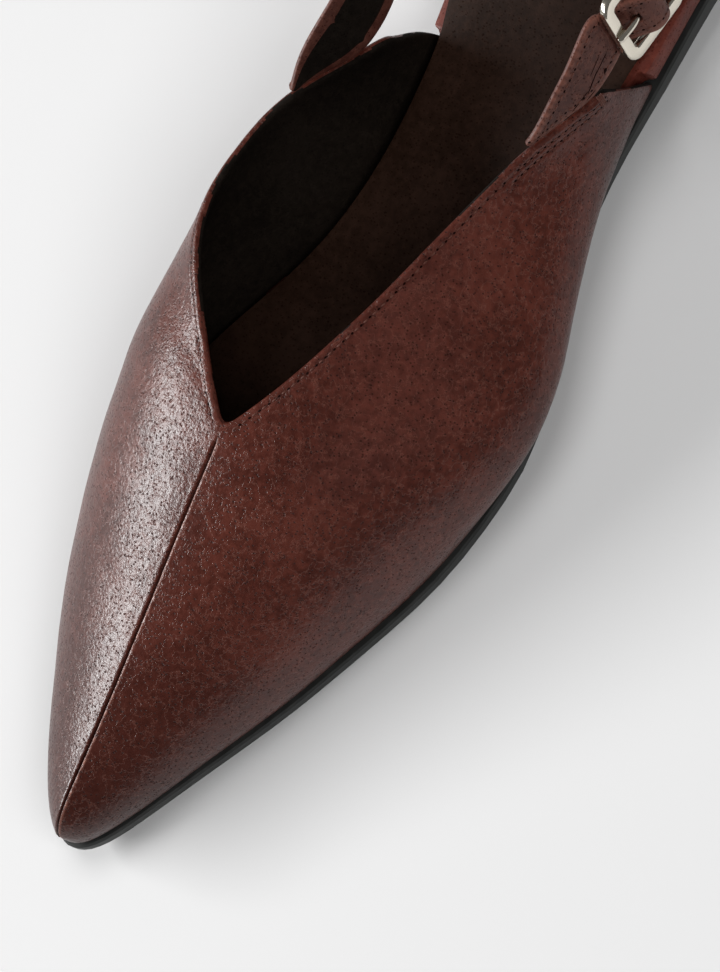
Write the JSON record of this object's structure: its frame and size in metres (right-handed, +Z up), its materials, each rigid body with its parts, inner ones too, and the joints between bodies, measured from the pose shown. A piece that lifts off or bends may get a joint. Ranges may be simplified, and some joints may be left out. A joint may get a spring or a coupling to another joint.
{
  "type": "flat shoe",
  "caption": "Women's pointed flat slingback shoe for the left foot: brown leather upper with a centre seam and V throat, buckled strap, leather-wrapped footbed and thin black sole.",
  "frame": {"origin": "on the floor under the middle of the heel, where the heel's flat underside meets it", "axes": "+X runs along the sole to the toe, +Y to the outer side of the left foot, +Z up; the floor is z = 0"},
  "size_m": [0.268, 0.0783, 0.0513],
  "materials": {
    "upper_leather": "satin",
    "insole_leather": "matte",
    "sole_rubber": "matte",
    "buckle_metal": "polished"
  },
  "bodies": {
    "root": {"outsole": "sole_rubber", "heel": "sole_rubber", "footbed": "upper_leather", "insole": "insole_leather", "upper": "upper_leather", "tab_strap": "upper_leather", "sling": "upper_leather", "buckle_frame": "buckle_metal", "buckle_prong": "buckle_metal"}
  },
  "joints": []
}
